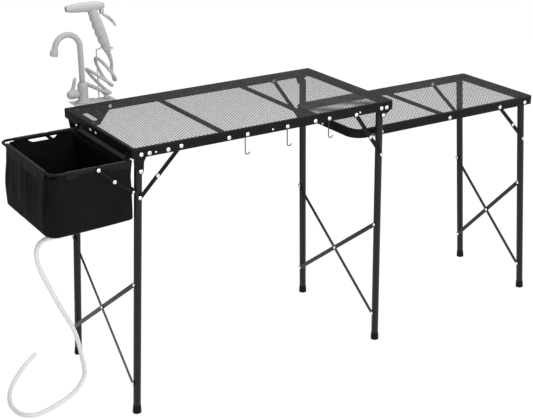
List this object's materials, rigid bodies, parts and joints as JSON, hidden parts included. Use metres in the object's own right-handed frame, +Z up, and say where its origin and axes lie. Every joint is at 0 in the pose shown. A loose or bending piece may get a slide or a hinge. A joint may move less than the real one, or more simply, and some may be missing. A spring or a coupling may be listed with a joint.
{
  "type": "camping table with sink",
  "caption": "Folding mesh-top camping table on splayed braced legs, with a lower side table, a soft hanging sink on a drain hose, utensil hooks and a tap with a pull-out sprayer.",
  "frame": {"origin": "middle of the footprint, on the floor, without the hoses", "axes": "+X along the tables towards the side table, +Y from the front towards the tap, +Z up"},
  "size_m": [1.8408, 0.5495, 1.097],
  "materials": {
    "black_paint": "semi-gloss black powder coat",
    "mesh_paint": "black coated wire mesh",
    "nickel": "bright nickel-plated rivets and bolts",
    "rubber": "matte black rubber",
    "dark_wire": "dark coated wire",
    "pvc": "soft black coated cloth",
    "grey_plastic": "plain pale grey",
    "pale_hose": "plain off-white flexible hose"
  },
  "bodies": {
    "main_table": {"main_front_rail": "black_paint", "main_back_rail": "black_paint", "main_mesh": "mesh_paint", "main_crossbar_left": "black_paint", "main_crossbar_right": "black_paint", "corner_plate": "black_paint", "tap_shelf": "black_paint", "tap_body": "grey_plastic", "sprayer_stand": "grey_plastic", "sprayer_body": "grey_plastic", "sprayer_hose": "grey_plastic", "drain_hose": "pale_hose"},
    "left_legs": {"left_leg_front": "black_paint", "left_leg_rear": "black_paint", "left_foot_front": "rubber", "left_foot_rear": "rubber", "left_leg_brace": "black_paint", "left_tie_bar": "black_paint"},
    "right_legs": {"right_leg_front": "black_paint", "right_leg_rear": "black_paint", "right_foot_front": "rubber", "right_foot_rear": "rubber", "right_leg_brace": "black_paint", "side_table_bolt_front": "nickel", "side_table_bolt_rear": "nickel"},
    "side_table": {"side_front_rail": "black_paint", "side_back_rail": "black_paint", "side_mesh": "mesh_paint", "side_crossbar": "black_paint"},
    "side_legs": {"side_leg_front": "black_paint", "side_leg_rear": "black_paint", "side_foot_front": "rubber", "side_foot_rear": "rubber", "side_leg_brace": "black_paint"},
    "basin": {"basin_rim": "black_paint", "basin_bag": "pvc", "basin_drain": "rubber"},
    "tap_spout": {"tap_spout": "grey_plastic", "tap_aerator": "grey_plastic"},
    "tap_lever": {"tap_lever": "grey_plastic"},
    "sprayer_trigger": {"sprayer_trigger": "grey_plastic"},
    "hook_left": {"hook_left": "dark_wire"},
    "hook_middle": {"hook_middle": "dark_wire"},
    "hook_right": {"hook_right": "dark_wire"},
    "basin_strut_upper": {"basin_strut_upper_front": "black_paint", "basin_strut_upper_rear": "black_paint"},
    "basin_strut_lower": {"basin_strut_lower_front": "black_paint", "basin_strut_lower_rear": "black_paint"},
    "left_strut_upper": {"left_strut_upper_front": "black_paint", "left_strut_upper_rear": "black_paint"},
    "left_strut_lower": {"left_strut_lower_front": "black_paint", "left_strut_lower_rear": "black_paint"},
    "right_strut_upper": {"right_strut_upper_front": "black_paint", "right_strut_upper_rear": "black_paint"},
    "right_strut_lower": {"right_strut_lower_front": "black_paint", "right_strut_lower_rear": "black_paint"},
    "side_strut_upper": {"side_strut_upper_front": "black_paint", "side_strut_upper_rear": "black_paint"},
    "side_strut_lower": {"side_strut_lower_front": "black_paint", "side_strut_lower_rear": "black_paint"}
  },
  "joints": [
    {"name": "left_legs_fold", "type": "hinge", "parent": "main_table", "child": "left_legs", "pos_m": [-0.61573, -0.028, 0.7336], "axis": [0, 1, 0], "range_deg": [-93.2, 0]},
    {"name": "right_legs_fold", "type": "hinge", "parent": "main_table", "child": "right_legs", "pos_m": [0.18928, -0.028, 0.7586], "axis": [0, 1, 0], "range_deg": [0, 90.4]},
    {"name": "side_table_swing", "type": "hinge", "parent": "main_table", "child": "side_table", "pos_m": [0.18982, -0.035, 0.686], "axis": [0, 1, 0], "range_deg": [0, 80]},
    {"name": "side_legs_fold", "type": "hinge", "parent": "side_table", "child": "side_legs", "pos_m": [0.81147, -0.035, 0.688], "axis": [0, 1, 0], "range_deg": [0, 92.3]},
    {"name": "left_strut_upper_turn", "type": "hinge", "parent": "main_table", "child": "left_strut_upper", "pos_m": [-0.49303, -0.028, 0.784], "axis": [0, 1, 0], "range_deg": [0, 46.79]},
    {"name": "left_strut_lower_turn", "type": "hinge", "parent": "left_legs", "child": "left_strut_lower", "pos_m": [-0.61995, -0.028, 0.6576], "axis": [0, 1, 0], "range_deg": [0, 2.25]},
    {"name": "right_strut_upper_turn", "type": "hinge", "parent": "main_table", "child": "right_strut_upper", "pos_m": [0.08897, -0.028, 0.776], "axis": [0, 1, 0], "range_deg": [0, 131.15]},
    {"name": "right_strut_lower_turn", "type": "hinge", "parent": "right_legs", "child": "right_strut_lower", "pos_m": [0.19022, -0.028, 0.633], "axis": [0, 1, 0], "range_deg": [-124.4, 0]},
    {"name": "side_strut_upper_turn", "type": "hinge", "parent": "side_table", "child": "side_strut_upper", "pos_m": [0.70297, -0.035, 0.6885], "axis": [0, 1, 0], "range_deg": [0, 136.5]},
    {"name": "side_strut_lower_turn", "type": "hinge", "parent": "side_legs", "child": "side_strut_lower", "pos_m": [0.82161, -0.035, 0.56], "axis": [0, 1, 0], "range_deg": [-130.91, 0]},
    {"name": "basin_fold", "type": "hinge", "parent": "main_table", "child": "basin", "pos_m": [-0.64403, -0.067, 0.762], "axis": [0, 1, 0], "range_deg": [-82, 0], "deforming": ["basin_bag", "basin_drain"]},
    {"name": "basin_strut_upper_turn", "type": "hinge", "parent": "basin", "child": "basin_strut_upper", "pos_m": [-0.73403, -0.067, 0.757], "axis": [0, 1, 0], "range_deg": [0, 124.4]},
    {"name": "basin_strut_lower_turn", "type": "hinge", "parent": "left_legs", "child": "basin_strut_lower", "pos_m": [-0.63753, -0.067, 0.677], "axis": [0, 1, 0], "range_deg": [-118.7, 0]},
    {"name": "hook_left_swing", "type": "hinge", "parent": "main_table", "child": "hook_left", "pos_m": [-0.29476, -0.259, 0.777], "axis": [0, 1, 0], "range_deg": [-60, 60]},
    {"name": "hook_middle_swing", "type": "hinge", "parent": "main_table", "child": "hook_middle", "pos_m": [-0.1555, -0.259, 0.777], "axis": [0, 1, 0], "range_deg": [-60, 60]},
    {"name": "hook_right_swing", "type": "hinge", "parent": "main_table", "child": "hook_right", "pos_m": [-0.01277, -0.259, 0.777], "axis": [0, 1, 0], "range_deg": [-60, 60]},
    {"name": "spout_swivel", "type": "hinge", "parent": "main_table", "child": "tap_spout", "pos_m": [-0.56403, 0.231, 0.86], "axis": [0, 0, 1], "range_deg": [-100, 100]},
    {"name": "lever_lift", "type": "hinge", "parent": "main_table", "child": "tap_lever", "pos_m": [-0.59203, 0.231, 0.8273], "axis": [1, 0, 0], "range_deg": [0, 45]},
    {"name": "trigger_pull", "type": "hinge", "parent": "main_table", "child": "sprayer_trigger", "pos_m": [-0.48903, 0.231, 1.061], "axis": [0, 1, 0], "range_deg": [0, 14], "stiffness_Nm_per_rad": 0.3, "springref_deg": -2.86}
  ],
  "couplings": [
    {"joint": "left_strut_upper_turn", "follows": "left_legs_fold", "ratio": -0.5015},
    {"joint": "left_strut_lower_turn", "follows": "left_legs_fold", "ratio": -0.0236},
    {"joint": "right_strut_upper_turn", "follows": "right_legs_fold", "ratio": 1.4502},
    {"joint": "right_strut_lower_turn", "follows": "right_legs_fold", "ratio": -1.3755},
    {"joint": "side_strut_upper_turn", "follows": "side_legs_fold", "ratio": 1.4783},
    {"joint": "side_strut_lower_turn", "follows": "side_legs_fold", "ratio": -1.4178},
    {"joint": "basin_strut_upper_turn", "follows": "basin_fold", "ratio": -1.516},
    {"joint": "basin_strut_lower_turn", "follows": "basin_fold", "ratio": 1.446}
  ]
}
